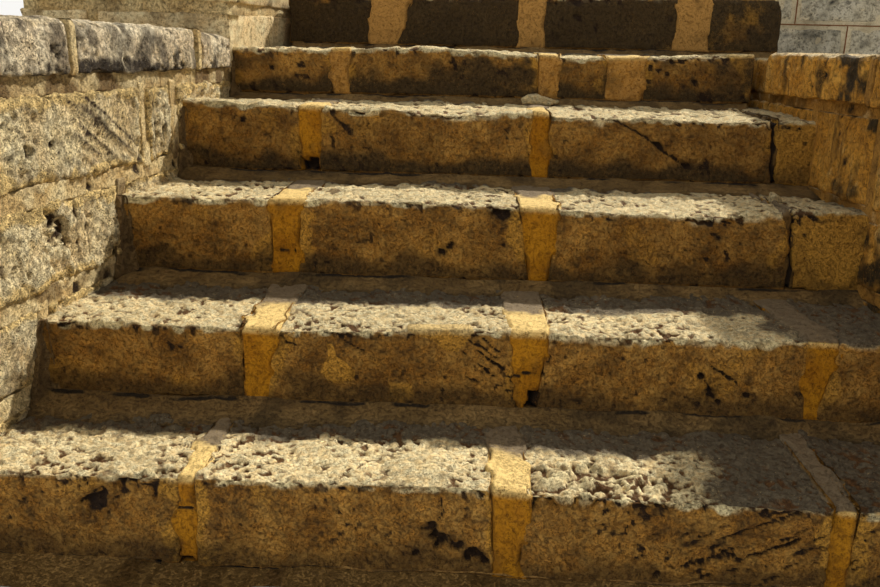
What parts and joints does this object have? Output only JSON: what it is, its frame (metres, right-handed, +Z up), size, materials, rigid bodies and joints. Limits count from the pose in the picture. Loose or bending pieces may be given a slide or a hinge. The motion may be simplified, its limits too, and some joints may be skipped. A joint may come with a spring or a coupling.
{
  "type": "outdoor stone steps",
  "caption": "Worn flight of stone steps with mortar joints between coped stone flank walls, ending at a terrace edge.",
  "frame": {"origin": "on the ground, in the middle of the footprint, under the third tread", "axes": "+X to the right as one walks up, +Y up the flight towards the terrace, +Z up"},
  "size_m": [2.64, 2.224, 1.234],
  "materials": {
    "step_stone": "rough, pitted and trodden limestone, ochre with dark stain",
    "joint_mortar": "sandy ochre lime mortar, weathered",
    "flank_stone": "rough pale limestone with lichen",
    "coping_stone": "grey weathered limestone with black stain",
    "wall_mortar": "raked back lime mortar",
    "right_stone": "ochre stained limestone",
    "terrace_stone": "hewn pale limestone",
    "ashlar_stone": "blue grey speckled limestone",
    "ashlar_mortar": "smooth beige flush mortar",
    "core_fill": "rubble in mortar"
  },
  "bodies": {
    "root": {"step_1_left": "step_stone", "step_1_middle": "step_stone", "step_1_right": "step_stone", "step_1_end": "step_stone", "step_1_mortar": "joint_mortar", "step_2_left": "step_stone", "step_2_middle": "step_stone", "step_2_right": "step_stone", "step_2_end": "step_stone", "step_2_mortar": "joint_mortar", "step_3_left": "step_stone", "step_3_middle": "step_stone", "step_3_right": "step_stone", "step_3_end": "step_stone", "step_3_mortar": "joint_mortar", "step_4_left": "step_stone", "step_4_middle": "step_stone", "step_4_right": "step_stone", "step_4_end": "step_stone", "step_4_mortar": "joint_mortar", "step_5_left": "step_stone", "step_5_middle": "step_stone", "step_5_right": "step_stone", "step_5_end": "step_stone", "step_5_mortar": "joint_mortar", "step_6_left": "step_stone", "step_6_middle": "step_stone", "step_6_right": "step_stone", "step_6_end": "step_stone", "step_6_mortar": "joint_mortar", "foot_fillets": "joint_mortar", "core": "core_fill", "left_wall_lower_stones": "flank_stone", "left_wall_upper_stones": "flank_stone", "left_wall_mortar": "wall_mortar", "left_coping": "coping_stone", "right_wall_lower_stones": "right_stone", "right_wall_upper_stones": "right_stone", "right_wall_mortar": "wall_mortar", "right_coping": "right_stone", "terrace_left_stones": "terrace_stone", "terrace_left_mortar": "wall_mortar", "terrace_left_coping": "coping_stone", "terrace_right_stones": "ashlar_stone", "terrace_right_mortar": "ashlar_mortar", "terrace_right_coping": "coping_stone", "back_wall": "terrace_stone"}
  },
  "joints": []
}
